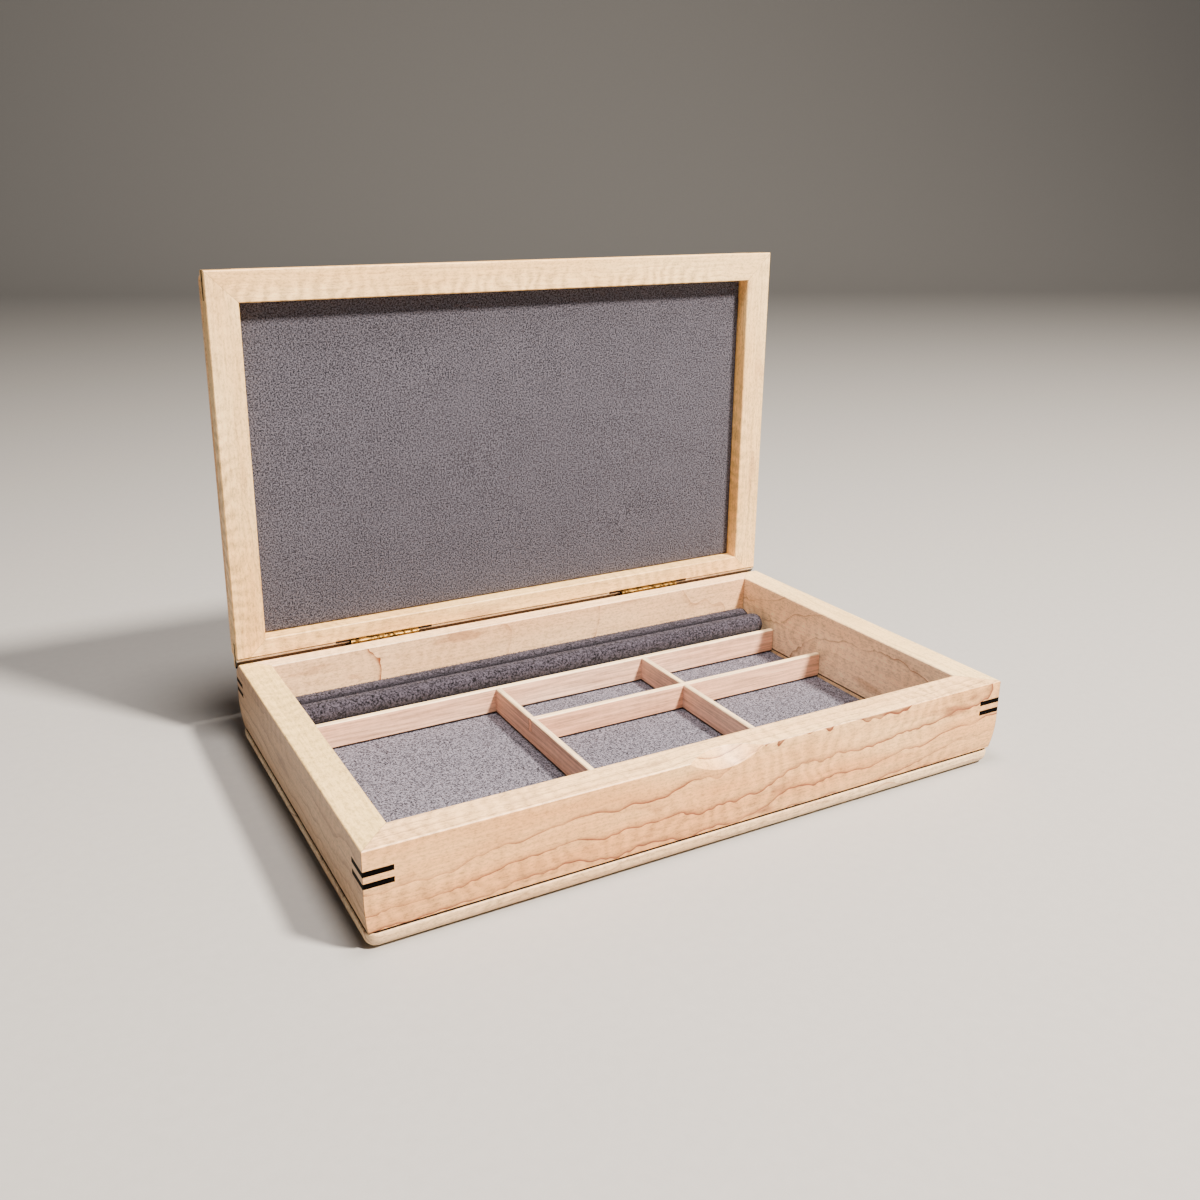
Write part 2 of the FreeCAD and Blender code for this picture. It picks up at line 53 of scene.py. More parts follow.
# %% [markdown]
# ## Tools for materials
# Every surface below is a small graph of nodes. A colour is written as it looks on a screen and
# turned into light values once. One helper adds every kind of node and links whatever is given to
# it, so that a material reads from top to bottom like a recipe. Patterns are drawn on the piece's own
# coordinates in millimetres, so their scale can be compared with the real thing.


# %% Colours
def light(code):
    """A screen colour such as #c08040 as Blender's linear colour."""
    parts = [int(code[i : i + 2], 16) / 255 for i in (1, 3, 5)]
    return [c / 12.92 if c <= 0.04045 else ((c + 0.055) / 1.055) ** 2.4 for c in parts] + [1.0]


print("#808080 is", [round(part, 3) for part in light("#808080")], "as light")


# %% Adding nodes
FAMILIES = ("", "ShaderNode", "GeometryNode", "FunctionNode")


class Graph:
    """Adds nodes to one tree."""

    def __init__(self, tree):
        self.tree = tree

    def feed(self, node, inputs):
        """Sets a node's inputs to numbers, colours or vectors, or links them to other outputs."""
        for key, value in inputs.items():
            if isinstance(value, bpy.types.NodeSocket):
                self.tree.links.new(value, node.inputs[key])
            else:
                node.inputs[key].default_value = value

    def add(self, kind, *first, out=0, inputs=None, **settings):
        """Adds a node and gives back one of its outputs; out is that output's name or number.

        kind is the node's type, and then its operation if it has one. first are the values of its
        first inputs, and inputs has others by name or number."""
        kind, _, operation = kind.partition(" ")
        known = [family + kind for family in FAMILIES if hasattr(bpy.types, family + kind)]
        node = self.tree.nodes.new(known[0])
        if operation:
            node.operation = operation
        for key, value in settings.items():
            setattr(node, key, value)
        self.feed(node, {**dict(enumerate(first)), **(inputs or {})})
        return node.outputs[out] if node.outputs else node


# %% Settings that come back
SMOOTH = {"interpolation_type": "SMOOTHSTEP"}  # a Map Range whose ends are eased
COLOURS = {"data_type": "RGBA", "out": 2}  # a Mix of input 6 and input 7, by input 0


# %% Noise in millimetres
def waves(graph, place, per_mm, detail=2.0, rough=0.5, out="Fac"):
    """Smooth noise; per_mm says how many waves it has in each millimetre of each axis."""
    fine = {"Scale": 1.0, "Detail": detail, "Roughness": rough}
    stretched = graph.add("VectorMath MULTIPLY", place, per_mm)
    return graph.add("TexNoise", inputs={"Vector": stretched, **fine}, out=out)


def wander(graph, place, per_mm, detail, reach):
    """Noise in three directions about zero, as far as reach in each."""
    colour = waves(graph, place, per_mm, detail, out="Color")
    centred = graph.add("VectorMath SUBTRACT", colour, (0.5, 0.5, 0.5))
    return graph.add("VectorMath MULTIPLY", centred, reach)


# %% A new material
def place_mm(graph, along="X", across="Y", depth="Z"):
    """The piece's own coordinates in millimetres, turned so that the first runs along the grain."""
    own = graph.add("SeparateXYZ", graph.add("TexCoord", out="Object")).node.outputs
    joined = graph.add("CombineXYZ", own[along], own[across], own[depth])
    return graph.add("VectorMath MULTIPLY", joined, (1000.0, 1000.0, 1000.0))


def surface(name, show):
    """A new material with its shader; show is its colour in a plain viewport."""
    material = bpy.data.materials.new(name)
    material.use_nodes = True
    material.diffuse_color = light(show)
    material.node_tree.nodes.clear()
    graph = Graph(material.node_tree)
    shader = graph.add("BsdfPrincipled")
    graph.add("OutputMaterial", shader)
    return material, graph, shader.node


# %% [markdown]
# ## The figure of curly maple
# A board is a slice through a stack of nested tubes, which are the tree's yearly rings. So the
# pattern is made in depth: the distance from the tree's heart is divided into rings, and each face
# shows where it cuts them. That is why the scooped finger notch shows arcs without being told to.
# Curly maple also has fibres that wave as they grow. The same wave pushes the ring lines about
# and makes light and dark bars across the board, partly the wood's own figure and partly a painted
# sheen, for in real wood the bars move with the light.


# %% The wood's sockets
WOOD_INPUTS = {
    "Place": "Vector",
    "Board": "Vector",
    "Heart across": "Float",
    "Heart depth": "Float",
    "Ring width": "Float",
    "Tilt": "Float",
    "Curl": "Float",
    "Lines": "Float",
    "Sharpness": "Float",
    "Blotches": "Float",
    "Fibres": "Float",
    "Flecks": "Float",
    "Dim": "Float",
    "Bare": "Float",
    "Pale": "Color",
    "Warm": "Color",
    "Line colour": "Color",
    "Bare colour": "Color",
}
WOOD_OUTPUTS = {"Color": "Color", "Height": "Float", "Curl": "Float"}
print("sockets:", len(WOOD_INPUTS), "in and", len(WOOD_OUTPUTS), "out")

# %% Sizes of the curl
CURL_LENGTH = 8.0  # mm from one wave of the fibres to the next
CURL_SWAY = 22.0  # how far the waves lean to and fro, in radians
CURL_PUSH = 0.16  # mm by which a wave pushes the ring lines aside
print("a wave pushes the lines by", round(CURL_PUSH / CURL_LENGTH * 100), "% of its length")


# %% The waves of the fibres
def curl_of(g, board, strength):
    """Waves across the grain that come and go along the board."""
    sway = waves(g, board, (0.035, 0.055, 0.05), detail=2.0)
    turn = g.add("Math MULTIPLY", g.add("SeparateXYZ", board, out="X"), 2 * math.pi / CURL_LENGTH)
    wave = g.add("Math SINE", g.add("Math ADD", turn, g.add("Math MULTIPLY", sway, CURL_SWAY)))
    patch = waves(g, board, (0.009, 0.035, 0.02), detail=1.0)
    patch = g.add("MapRange", patch, 0.40, 0.62, 0.15, 1.0, **SMOOTH)
    return g.add("Math MULTIPLY", g.add("Math MULTIPLY", wave, patch), strength)


# %% The ring lines
def ring_lines(g, given, board, curl):
    """How dark the late wood is at each point, from its distance to the tree's heart in rings."""
    # The tree wasn't straight, so its rings wander over a hand's length and bend in between.
    drift = wander(g, board, (0.008, 0.012, 0.012), 0.0, (0, 30, 10))
    bend = wander(g, board, (0.045, 0.030, 0.030), 1.5, (0, 8, 4))
    moved = g.add("VectorMath ADD", given["Place"], g.add("VectorMath ADD", drift, bend))
    off_across = g.add("Math SUBTRACT", g.add("SeparateXYZ", moved, out="Y"), given["Heart across"])
    off_depth = g.add("Math SUBTRACT", g.add("SeparateXYZ", moved, out="Z"), given["Heart depth"])
    squares = [g.add("Math POWER", off, 2.0) for off in (off_across, off_depth)]
    radius = g.add("Math SQRT", g.add("Math ADD", *squares))
    radius = g.add("Math ADD", radius, g.add("Math MULTIPLY", curl, CURL_PUSH))
    # A board that is sawn at a small angle to the trunk shows each ring run out through its face.
    radius = g.add("Math MULTIPLY_ADD", g.add("SeparateXYZ", board, out="X"), given["Tilt"], radius)
    ring = g.add("Math DIVIDE", radius, given["Ring width"])
    # Late wood darkens slowly and stops sharply; some years show it more than others.
    late = g.add("Math POWER", g.add("Math FRACT", ring), given["Sharpness"])
    whole = {"W": g.add("Math FLOOR", ring)}
    white = g.add("TexWhiteNoise", inputs=whole, noise_dimensions="1D")
    year = g.add("MapRange", white, 0.0, 1.0, 0.45, 1.0, **SMOOTH)
    broken = waves(g, board, (0.02, 0.1, 0.1), detail=3.0)
    broken = g.add("MapRange", broken, 0.32, 0.6, 0.35, 1.0, **SMOOTH)
    line = g.add("Math MULTIPLY", late, g.add("Math MULTIPLY", year, broken))
    return g.add("Math MULTIPLY", line, given["Lines"])


# %% The wood's node group
def wood_group():
    """The whole figure: rings, waves, fibres, ray flecks and slow changes of tone."""
    tree = bpy.data.node_groups.new("Curly maple figure", "ShaderNodeTree")
    for name, kind in WOOD_INPUTS.items():
        tree.interface.new_socket(name=name, in_out="INPUT", socket_type=f"NodeSocket{kind}")
    for name, kind in WOOD_OUTPUTS.items():
        tree.interface.new_socket(name=name, in_out="OUTPUT", socket_type=f"NodeSocket{kind}")
    g = Graph(tree)
    given = g.add("NodeGroupInput").node.outputs
    board = g.add("VectorMath ADD", given["Place"], given["Board"])
    curl = curl_of(g, board, given["Curl"])
    line = ring_lines(g, given, board, curl)

    tone = g.add("MapRange", waves(g, board, (0.006, 0.03, 0.04), detail=3.0), 0.30, 0.70, **SMOOTH)
    blotch = waves(g, board, (0.022, 0.075, 0.07), detail=4.0)
    blotch = g.add("MapRange", blotch, 0.60, 0.72, **SMOOTH)
    colour = g.add("Mix", inputs={0: tone, 6: given["Pale"], 7: given["Warm"]}, **COLOURS)
    for share, over in (
        (g.add("Math MULTIPLY", blotch, given["Blotches"]), given["Line colour"]),
        (g.add("Math MULTIPLY", line, 0.95), given["Line colour"]),
        # Painted light: paler wood on the rims, the lid's bevel, the dividers' top edges and an inner
        # face.
        (given["Bare"], given["Bare colour"]),
        # Painted shade in gaps, slots and creases and under the dividers, with the real dark glue of
        # the mitres.
        (given["Dim"], light("#24140d")),
    ):
        colour = g.add("Mix", inputs={0: share, 6: colour, 7: over}, **COLOURS)

    # Real fibres and flecks are a few hundredths of a millimetre wide. These are drawn about a
    # millimetre wide, so that they still show when the whole box is seen.
    fibre = waves(g, board, (0.03, 0.75, 0.75), detail=3.0, rough=0.6)
    fleck = waves(g, board, (0.50, 0.95, 0.95), detail=2.0, rough=0.8)
    fleck = g.add("MapRange", fleck, 0.46, 0.64, **SMOOTH)
    value = g.add("Math MULTIPLY_ADD", g.add("Math SUBTRACT", fibre, 0.5), given["Fibres"], 1.0)
    # Painted sheen, partly real figure: the curl's light and dark bars are set into the colour.
    value = g.add("Math MULTIPLY_ADD", curl, 0.13, value)
    value = g.add("Math SUBTRACT", value, g.add("Math MULTIPLY", fleck, given["Flecks"]))
    grey = g.add("CombineColor", value, value, value)
    colour = g.add("Mix", inputs={0: 1.0, 6: colour, 7: grey}, blend_type="MULTIPLY", **COLOURS)

    height = g.add("Math MULTIPLY_ADD", fibre, 0.6, g.add("Math MULTIPLY", curl, 0.5))
    g.add("NodeGroupOutput", colour, height, curl)
    return tree


WOOD = wood_group()
print("nodes in the figure:", len(WOOD.nodes))


# %% [markdown]
# ## Painted shade and painted light
# Shade is painted into the wood as a darker colour where it falls: in the shadow gap under the
# rails, in the hinge slots, in the saw cut along the lid's crease and the gap beneath it, in the lap
# joints and under the dividers. Light is painted as a paler colour on the rims of the base and the
# lid, on the lid's bevel, on the dividers' top edges and on the front rail's inner face. Such a place
# is a box on the piece's own coordinates, and its sides are worked out from the pieces' sizes. The
# glue in a mitre is found by a rule instead: it lies where a point is as far from the box's side as
# from its end.


# %% Boxes in the wood
def mm_box(node):
    """The node's lowest and highest corners in millimetres."""
    return [corner * 1000 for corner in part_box(node)]


def inside(graph, own, places):
    """How strongly a point lies in any of the places; each is its strength and then its sides."""
    found = 0.0
    for strength, *sides in places:
        held = strength
        for axis, low, high in sides:
            middle, half = (low + high) / 2, (high - low) / 2
            within = graph.add("Math COMPARE", own[axis], middle, half)
            held = graph.add("Math MULTIPLY", held, within)
        found = graph.add("Math MAXIMUM", found, held)
    return found


def glue_line(graph, own, axis, middle, strength=0.4, width=0.16):
    """A hair of darkened glue where two mitred rails meet."""
    from_side = graph.add("Math ABSOLUTE", own["X"])
    from_end = graph.add("Math ABSOLUTE", graph.add("Math SUBTRACT", own[axis], middle))
    uneven = graph.add("Math SUBTRACT", from_side, from_end)
    return graph.add("Math MULTIPLY", graph.add("Math COMPARE", uneven, LONGER_BY, width), strength)


# %% Sizes read from the pieces
front_low, front_high = mm_box("base_front_rail")
lid_low, lid_high = mm_box("lid_back_rail")
strip_low, strip_high = mm_box("divider_long_front")
cross_low, cross_high = mm_box("divider_cross_left")
LONGER_BY = front_high.x + front_low.y  # half the width less half the depth
LID_FACE = lid_low.y  # the lid stands open, so its rim faces forward
LID_MIDDLE = (lid_low.z + mm_box("lid_front_rail")[1].z) / 2
BASE_FRAME, LID_FRAME = ("Y", 0.0), ("Z", LID_MIDDLE)
GAP = 0.8  # mm, the shadow gap between the rails and the panels
HINGES, SLOT = (-87.5, 87.5), 28.5  # mm, the middle of each hinge and half of its slot
BEVEL_TOP, BEVEL_MIDDLE = 47.62, 46.3  # mm above the table, where the lid's rim turns under
print("mitres run where x is", round(LONGER_BY, 2), "mm more than y")

# %% Painted shade
# Painted shade in the shadow gaps between the rails and the panels, of the base and of the lid.
FOOT = [(1.0, ("Z", front_low.z - GAP - 0.04, front_low.z + 0.04))]
LID_FOOT = [(1.0, ("Y", lid_high.y - 0.04, lid_high.y + GAP + 0.04))]
# Painted shade in the saw cut along the lid's crease, and below it where the lid's bevel meets the
# base.
CREASE = [
    (0.8, ("Y", LID_FACE + 0.05, LID_FACE + 1.2), ("Z", BEVEL_TOP, BEVEL_TOP + 0.68)),
    (1.0, ("Y", LID_FACE + 0.5, LID_FACE + 3.6), ("Z", BEVEL_MIDDLE - 3.3, BEVEL_MIDDLE)),
]
# Painted shade in the hinge slots.
SLOTS = [
    (1.0, ("X", at - SLOT, at + SLOT), ("Y", LID_FACE + 0.05, LID_FACE + 7.6), ("Z", 46.8, 53.0))
    for at in HINGES
]
# Painted shade in the gap under the dividers.
SHADE = [(1.0, ("Z", strip_low.z - 0.1, strip_low.z + 0.8))]
# Painted shade in the hairline gaps of the lap joints.
LAP = [
    (0.8, ("X", cross_low.x - 0.2, cross_low.x + 0.1), ("Z", 14.0, cross_high.z + 0.1), ("Y", *side))
    for side in ((strip_low.y - 0.3, strip_low.y), (strip_high.y, strip_high.y + 0.3))
]
print("the hinge slots run", [(at - SLOT, at + SLOT) for at in HINGES], "mm along the back")

# %% Painted light
# Painted light on the rims of the base, strongest on the left and right rails.
RIM, LEFT_RIM, RIGHT_RIM = (
    [(strength, ("Z", front_high.z - 0.3, front_high.z + 0.1))] for strength in (0.35, 0.75, 0.6)
)
# Painted light on the front rail's inner face, which lies in shade.
INNER_FACE = [
    (0.5, ("Y", front_high.y - 0.4, front_high.y + 0.4), ("X", -153.5, 153.5), ("Z", 7.0, 45.6))
]
# Painted light on the lid's rim face.
LID_RIM = [(0.06, ("Y", LID_FACE - 0.1, LID_FACE + 0.05))]
# Painted light on the upper part of the lid's bevel, which faces down into shade.
LIT_BEVEL = [(1.0, ("Y", LID_FACE + 0.02, LID_FACE + 1.6), ("Z", BEVEL_MIDDLE, BEVEL_TOP))]
# Painted highlight along the dividers' top edges.
TOP_EDGE = [(0.7, ("Z", strip_high.z - 0.5, strip_high.z + 0.1))]
print("the rim is", round(front_high.z, 1), "mm above the table")

# %% [markdown]
# ## The boards
# Each rail's grain runs along its length, so the pattern is turned for each direction. The four
# rails of a real box are sawn from one board and look alike but not equal; every rail therefore
# has its own place in the tree. A small bevel in the shading softens the sharp arrises, as a pass
# with fine sandpaper does. The wood is oiled, which leaves a low, even gloss.

# %% How maple usually looks
USUAL = {
    "ring_width": 2.6,  # mm from one year to the next
    "tilt": 0.01,  # how far the board was sawn off the line of the trunk
    "curl": 1.0,  # strength of the waves
    "lines": 1.0,  # darkness of the ring lines
    "sharpness": 6.0,  # the higher, the thinner the lines
    "blotches": 0.4,  # brown mineral marks
    "fibres": 0.75,
    "flecks": 0.27,
    "pale": "#ffd096",
    "warm": "#f3b576",
    "line_colour": "#8c4c28",
    "bare_colour": "#ffe7b4",
}


# %% Maple
def maple(name, axes, board, heart, bevel=0.35, dim=(), bare=(), mitre=None, **own_look):
    """A planed, sanded and oiled maple board; axes are along the grain, across it and in depth.

    Of the two lists of places, the first is painted darker, as shade, and the second paler, as light.
    mitre is the axis and the middle of the frame that the board belongs to, when its ends are mitred."""
    look = {**USUAL, **own_look}
    material, graph, shader = surface(name, look["pale"])
    own = graph.add("SeparateXYZ", place_mm(graph)).node.outputs
    dark_places = inside(graph, own, dim)
    if mitre:
        dark_places = graph.add("Math MAXIMUM", dark_places, glue_line(graph, own, *mitre))
    figure = graph.add("Group", node_tree=WOOD).node
    given = {"Place": place_mm(graph, *axes), "Board": board, "Dim": dark_places}
    given["Bare"] = inside(graph, own, bare)
    given["Heart across"], given["Heart depth"] = heart
    for key, value in look.items():
        socket = key.replace("_", " ").capitalize()
        given[socket] = light(value) if isinstance(value, str) else value
    graph.feed(figure, given)
    soft = graph.add("Bevel", bevel * MM, samples=4)
    relief = {"Strength": 0.35, "Distance": 0.05 * MM, "Height": figure.outputs["Height"]}
    bump = graph.add("Bump", inputs={**relief, "Normal": soft})
    # The crest of a wave shows side grain, which shines a little more than the end grain beside it.
    rough = graph.add("Math MULTIPLY_ADD", figure.outputs["Curl"], -0.04, 0.46)
    graph.feed(shader, {"Base Color": figure.outputs["Color"], "Roughness": rough, "Normal": bump})
    return material


# %% The base's rails
FRONT = maple(
    "maple_front_rail", "XZY", (0, 0, 0), (46, -62), curl=1.0, lines=1.9, blotches=0.7, tilt=0.03,
    ring_width=4.8, sharpness=10.0, pale="#ffcd8e", warm="#eda561",
    dim=FOOT, bare=RIM + INNER_FACE, mitre=BASE_FRAME,
)
BACK = maple(
    "maple_back_rail", "XZY", (410, 60, 90), (25, -150), curl=0.7, lines=1.3, blotches=0.45,
    tilt=0.09, ring_width=7.0, sharpness=34.0, pale="#ffd3a2", warm="#f4bd8a",
    dim=FOOT, bare=RIM, mitre=BASE_FRAME,
)
# Painted shade: the left rail's colours are darker, for the shade on its side.
LEFT = maple(
    "maple_left_rail", "YZX", (130, 20, 333), (60, -95), curl=0.7, lines=1.5, ring_width=3.8,
    pale="#d2ac82", warm="#b98e62", line_colour="#744426", bare_colour="#ffdc8e",
    dim=FOOT, bare=LEFT_RIM, mitre=BASE_FRAME,
)
# Painted light: the right rail's colours are paler, for light on its inner face.
RIGHT = maple(
    "maple_right_rail", "YZX", (77, 55, 12), (5, 230), curl=0.9, lines=1.2, tilt=0.07,
    ring_width=6.0, sharpness=24.0, pale="#ffe6c2", warm="#fdd4a8", bare_colour="#ffda8c",
    dim=FOOT, bare=RIGHT_RIM, mitre=BASE_FRAME,
)
print("base rails:", [board.name for board in (FRONT, BACK, LEFT, RIGHT)])

# %% The lid's rails
LID = {"pale": "#ffd692", "warm": "#f5bd70", "bare_colour": "#fff8ea", "lines": 0.5, "mitre": LID_FRAME}
LID_FRONT = maple(
    "maple_lid_front_rail", "XZY", (810, 300, 50), (330, 180), curl=1.5,
    dim=LID_FOOT, bare=LID_RIM, **LID,
)
LID_BACK = maple(
    "maple_lid_back_rail", "XZY", (1210, 80, 20), (-60, 190), curl=1.1,
    dim=LID_FOOT + CREASE + SLOTS, bare=LID_RIM + LIT_BEVEL, **LID,
)
LID_LEFT = maple(
    "maple_lid_left_rail", "ZXY", (512, 40, 15), (-290, 190), curl=1.3,
    dim=LID_FOOT + CREASE, bare=LID_RIM + LIT_BEVEL, **LID,
)
LID_RIGHT = maple(
    "maple_lid_right_rail", "ZXY", (712, 20, 35), (290, 190), curl=1.1,
    dim=LID_FOOT + CREASE, bare=LID_RIM + LIT_BEVEL, **LID,
)
print("lid rails:", [board.name for board in (LID_FRONT, LID_BACK, LID_LEFT, LID_RIGHT)])

# %% The panels and the dividers
BOTTOM = maple(
    "maple_bottom_panel", "XYZ", (950, 10, 5), (-20, -60), curl=0.6, ring_width=3.0,
    pale="#fadcaf", warm="#e6bc8a", dim=FOOT,
)
TOP = maple(
    "maple_lid_panel", "XZY", (250, 500, 5), (150, 40), curl=1.1, lines=0.9, ring_width=4.4,
    sharpness=9.0, dim=LID_FOOT,
)
DIVIDER = {
    "curl": 0.25, "lines": 0.3, "blotches": 0.1, "ring_width": 1.8, "fibres": 1.8, "flecks": 0.1,
    "line_colour": "#b08468", "bevel": 0.3, "dim": SHADE + LAP, "bare": TOP_EDGE,
}
DIVIDER_BACK = maple(
    "maple_divider_back", "XZY", (30, 90, 140), (210, 60), pale="#ffd4b6", warm="#eab08e", **DIVIDER
)
DIVIDER_FRONT = maple(
    "maple_divider_front", "XZY", (330, 40, 60), (150, 90), pale="#fac4a2", warm="#de9f7c", **DIVIDER
)
DIVIDER_CROSS = maple(
    "maple_divider_cross", "YZX", (60, 20, 40), (210, 60), pale="#eecab4", warm="#d6aa94", **DIVIDER
)
print("dividers:", [board.name for board in (DIVIDER_BACK, DIVIDER_FRONT, DIVIDER_CROSS)])

# %% Which board is which
BOARDS = {
    "base_front_rail": FRONT,
    "base_back_rail": BACK,
    "base_left_rail": LEFT,
    "base_right_rail": RIGHT,
    "lid_front_rail": LID_FRONT,
    "lid_back_rail": LID_BACK,
    "lid_left_rail": LID_LEFT,
    "lid_right_rail": LID_RIGHT,
    "bottom_panel": BOTTOM,
    "lid_top_panel": TOP,
    "divider_long_back": DIVIDER_BACK,
    "divider_long_front": DIVIDER_FRONT,
    "divider_cross_left": DIVIDER_CROSS,
    "divider_cross_right": DIVIDER_CROSS,
}
print("boards:", len(BOARDS), "from", len(set(BOARDS.values())), "kinds of figure")


# %% [markdown]
# ## Black keys
# The corner keys are thin slips of black wood glued into saw cuts and sanded flush with the rails.
# Their figure hardly shows, so a fine noise along the grain is enough: nearly black, with a few
# brown fibres that the sanding brings out, and no gloss.


# %% Ebony, sawn and sanded
def black_wood():
    material, graph, shader = surface("ebony_key", "#1b1512")
    fibre = waves(graph, place_mm(graph, *"XZY"), (0.9, 5.0, 0.9), detail=3.0, rough=0.6)
    brown = graph.add("MapRange", fibre, 0.35, 0.8, **SMOOTH)
    shades = {0: brown, 6: light("#020202"), 7: light("#0c0806")}
    colour = graph.add("Mix", inputs=shades, **COLOURS)
    relief = {"Strength": 0.3, "Distance": 0.05 * MM, "Height": fibre}
    bump = graph.add("Bump", inputs=relief)
    graph.feed(shader, {"Base Color": colour, "Roughness": 0.55, "Normal": bump})
    graph.feed(shader, {"Specular IOR Level": 0.02})
    return material


EBONY = black_wood()
print(EBONY.name, "has", len(EBONY.node_tree.nodes), "nodes")

# %% [markdown]
# ## Brass hinges
# The leaves and knuckles are drawn brass, which leaves fine lines along them. Old brass goes brown
# in patches and stays bright where it is rubbed. So a metal with two colours is used, and the
# brown patches are also rougher. Its base colour is its reflection, and no other value is needed.


# %% Brass, drawn and tarnished
def brass():
    material, graph, shader = surface("hinge_brass", "#c9a25a")
    place = place_mm(graph, *"XZY")
    drawn = waves(graph, place, (0.4, 9.0, 9.0), detail=2.0)
    tarnish = waves(graph, place, (0.5, 0.6, 0.6), detail=4.0)
    tarnish = graph.add("MapRange", tarnish, 0.42, 0.62, **SMOOTH)
    colour = graph.add("Mix", inputs={0: tarnish, 6: light("#7a5c2c"), 7: light("#33230f")}, **COLOURS)
    rough = graph.add("Math MULTIPLY_ADD", drawn, 0.20, 0.26)
    rough = graph.add("Math MULTIPLY_ADD", tarnish, 0.18, rough)
    relief = {"Strength": 0.25, "Distance": 0.03 * MM, "Height": drawn}
    bump = graph.add("Bump", inputs=relief)
    graph.feed(shader, {"Base Color": colour, "Metallic": 1.0, "Roughness": rough, "Normal": bump})
    return material


BRASS = brass()
print(BRASS.name, "has", len(BRASS.node_tree.nodes), "nodes")

# %% [markdown]
# ## Fibreboard
# The linings are glued to thin pressed board. Only its edge could ever show, so it gets a felted
# grey-brown noise and nothing more.


# %% Fibreboard, pressed
def fibreboard():
    material, graph, shader = surface("lining_fibreboard", "#7d756c")
    felt = waves(graph, place_mm(graph, *"XZY"), (1.5, 1.5, 1.5), detail=4.0, rough=0.7)
    colour = graph.add("Mix", inputs={0: felt, 6: light("#6b645c"), 7: light("#958c80")}, **COLOURS)
    graph.feed(shader, {"Base Color": colour, "Roughness": 0.85})
    return material


FIBREBOARD = fibreboard()
print(FIBREBOARD.name, "has", len(FIBREBOARD.node_tree.nodes), "nodes")

# %% [markdown]
# ## Suede and velvet
# Both are short piles of fibre. Seen from above they look mottled, because the fibres lie in
# small tufts that point different ways. Seen along the surface they look paler, because light
# catches the tips, and the sheen layer does that. Real tufts are about 0.2 mm apart. They are
# drawn about 1 mm apart here, so that they show when the whole box is seen. Low down on the rings'
# rolls and in the crease between them, shade is painted into the velvet as a darker colour.


# %% Brushed pile
def pile(name, dark, pale, tip, tufts_per_mm, sheen, painted_shade_heights=None, crease=None):
    """The pair of heights in mm (from, to) is where painted shade low on a roll fades out.

    crease is where two rolls press on each other, in mm behind the middle of the box; shade is
    painted along it too."""
    material, graph, shader = surface(name, pale)
    place = place_mm(graph)
    tuft = waves(graph, place, (tufts_per_mm,) * 3, detail=4.0, rough=0.8)
    lay = waves(graph, place, (0.06, 0.06, 0.06), detail=3.0)
    value = graph.add("Math MULTIPLY_ADD", graph.add("Math SUBTRACT", lay, 0.5), 0.03, tuft)
    bright = graph.add("MapRange", value, 0.41, 0.59, **SMOOTH)
    colour = graph.add("Mix", inputs={0: bright, 6: light(dark), 7: light(pale)}, **COLOURS)
    # Painted shade: the velvet darkens low on a roll and along the crease between the rolls.
    if painted_shade_heights:
        across, up = (graph.add("SeparateXYZ", place, out=axis) for axis in "YZ")
        away = graph.add("Math ABSOLUTE", graph.add("Math SUBTRACT", across, crease))
        apart = graph.add("MapRange", away, 1.5, 5.0, 0.1, **SMOOTH)
        above_shade = graph.add("MapRange", up, *painted_shade_heights, 0.22, **SMOOTH)
        unshaded = graph.add("Math MULTIPLY", above_shade, apart)
        colour = graph.add("Mix", inputs={0: unshaded, 6: light("#0a080b"), 7: colour}, **COLOURS)
    relief = {"Strength": 0.8, "Distance": 0.4 * MM, "Height": tuft}
    bump = graph.add("Bump", inputs=relief)
    graph.feed(shader, {"Base Color": colour, "Roughness": 0.95, "Normal": bump})
    graph.feed(shader, {"Sheen Weight": sheen, "Sheen Roughness": 0.5, "Sheen Tint": light(tip)})
    graph.feed(shader, {"Specular IOR Level": 0.1})
    return material


# %% The three piles
roll_middle = (mm_box("ring_roll_front")[1].y + mm_box("ring_roll_back")[0].y) / 2
SUEDE = pile("lining_suede", "#15141a", "#807d8b", "#c8c4d0", 1.2, 0.12)
# Painted shade: the lid's lining is the floor's suede made darker and less shiny, as it faces away from
# the light above.
SHADED_LID_SUEDE = pile("lid_lining_suede_shaded", "#121117", "#64626d", "#c8c4d0", 1.2, 0.08)
VELVET = pile(
    "ring_roll_velvet", "#09080b", "#504b56", "#d8d4e0", 0.9, 0.20,
    painted_shade_heights=(16.0, 29.0), crease=roll_middle,
)
print("the rolls meet", round(roll_middle, 2), "mm behind the middle")

# %% [markdown]
# ## Surfaces on the design's own pieces
# Each solid from the design file keeps its mesh and only gets its material. The boards are looked
# up by name, and the rest by what their names say they are.

# %% Setting the surfaces
for name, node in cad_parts.items():
    if name in BOARDS:
        chosen = BOARDS[name]
    elif "key" in name:
        chosen = EBONY
    elif name.startswith("hinge"):
        chosen = BRASS
    else:
        chosen = FIBREBOARD
    for slot in node.material_slots:
        slot.material = chosen
print("surfaces set on", len(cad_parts), "pieces")


# %% [markdown]
# ## The linings
# A lining is a piece of suede pulled over a thin board and glued behind it. Its edge is therefore
# round, not cut, and its face swells and sinks a little where the glue took. The mesh is a fine
# grid whose border bends down to the board. A grid built point by point was chosen over a plane
# with modifiers, because its rows can crowd where the cloth turns.


# %% Rows of the grid
CELL = 3.2 * MM


